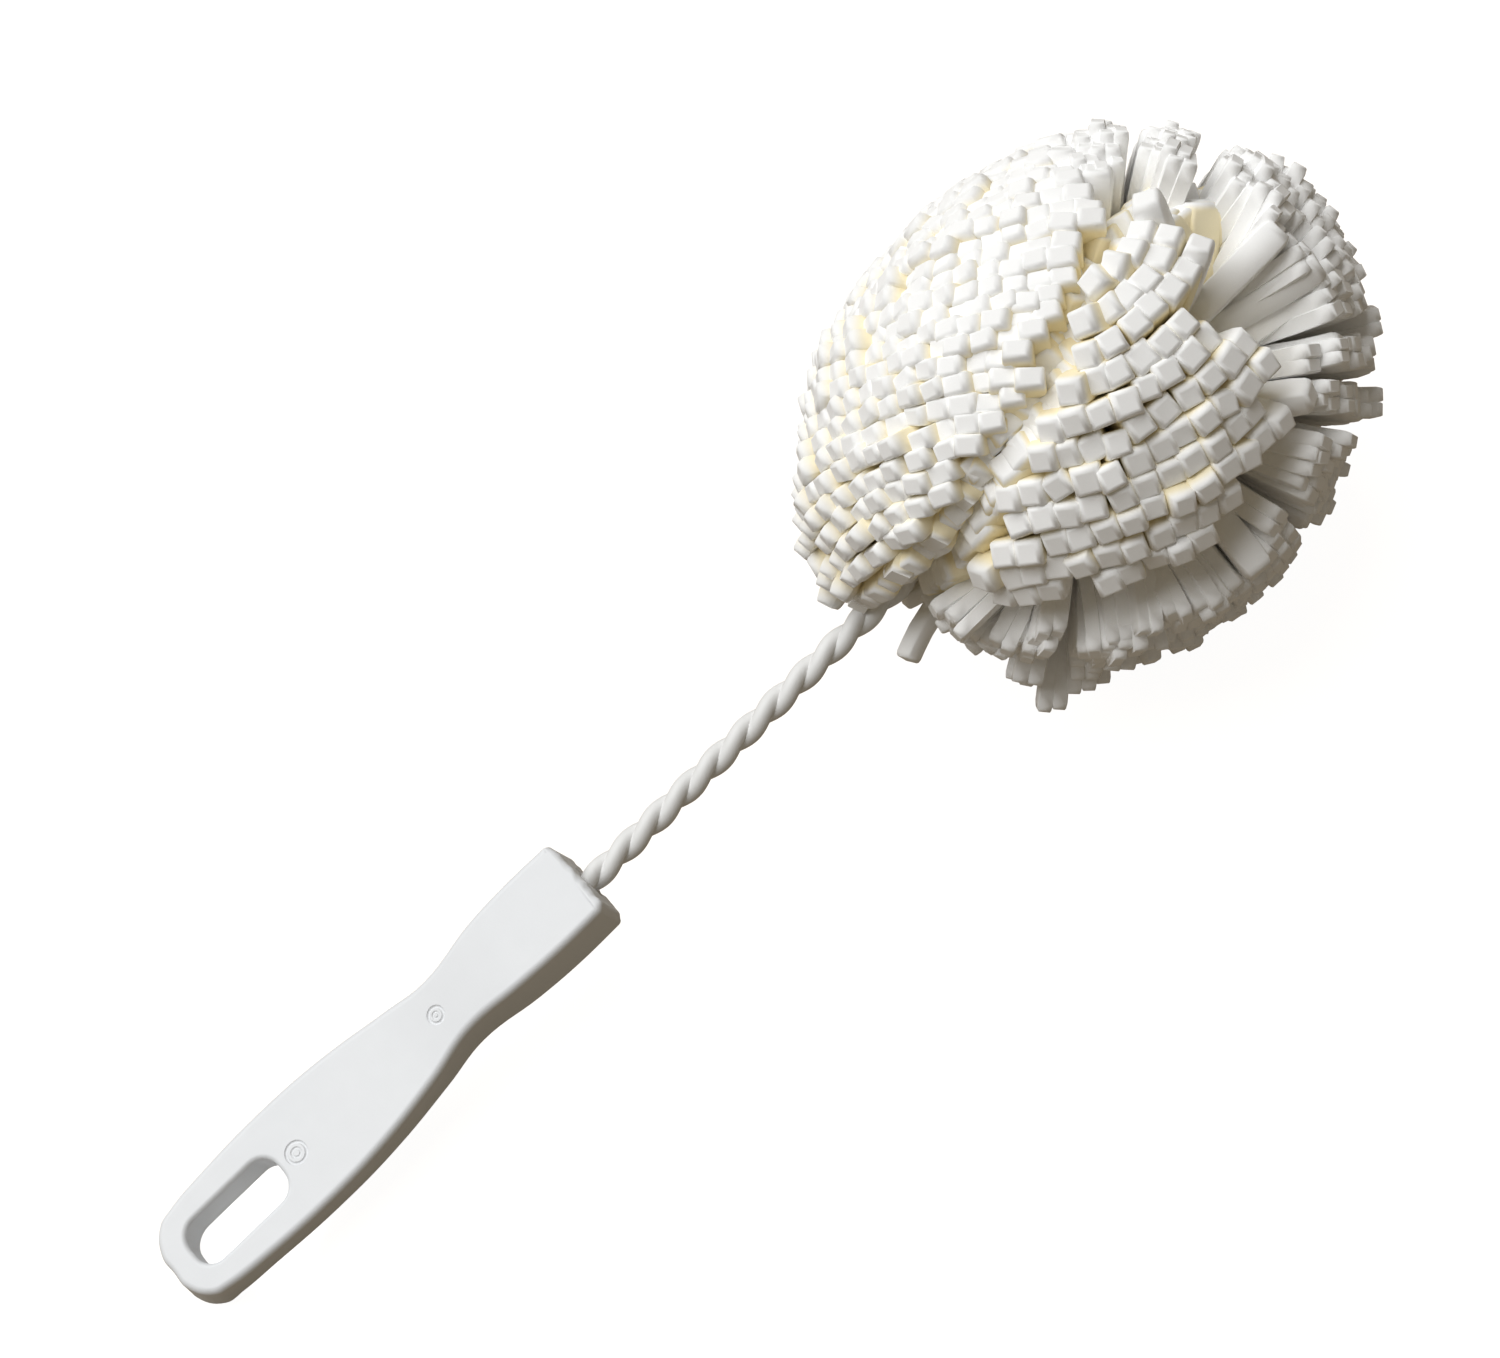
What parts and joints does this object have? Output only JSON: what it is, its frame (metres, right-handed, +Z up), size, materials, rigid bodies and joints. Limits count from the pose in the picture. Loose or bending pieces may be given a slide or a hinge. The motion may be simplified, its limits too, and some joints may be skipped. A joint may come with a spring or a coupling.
{
  "type": "foam bottle brush",
  "caption": "Bottle brush with a ball of fringe-cut foam sheets on a twisted, coated wire stem, set in a flat waisted plastic handle with a hanging slot.",
  "frame": {"origin": "centre of the bounding box's base, on the surface that the brush rests on with the tail of its handle and its foam head", "axes": "+X runs from the tail of the handle to the foam head, +Z is up, and +Y is to the left of someone who looks from the handle to the head. The brush's own axis leans about 10.8 degrees nose up from +X."},
  "size_m": [0.2906, 0.097, 0.0978],
  "materials": {
    "handle_white": "cool white moulded plastic with a soft sheen",
    "coating_white": "smooth white plastic sleeve",
    "galvanised_steel": "drawn galvanised wire",
    "white_foam": "soft white foam with fine pores"
  },
  "bodies": {
    "root": {"handle": "handle_white", "wire_core": "galvanised_steel", "wire_coating": "coating_white", "foam_sheet_01": "white_foam", "foam_sheet_02": "white_foam", "foam_sheet_03": "white_foam", "foam_sheet_04": "white_foam", "foam_sheet_05": "white_foam", "foam_sheet_06": "white_foam", "foam_sheet_07": "white_foam", "foam_sheet_08": "white_foam", "foam_sheet_09": "white_foam", "foam_sheet_10": "white_foam", "foam_sheet_11": "white_foam", "foam_sheet_12": "white_foam", "foam_sheet_13": "white_foam", "foam_sheet_14": "white_foam"}
  },
  "joints": []
}
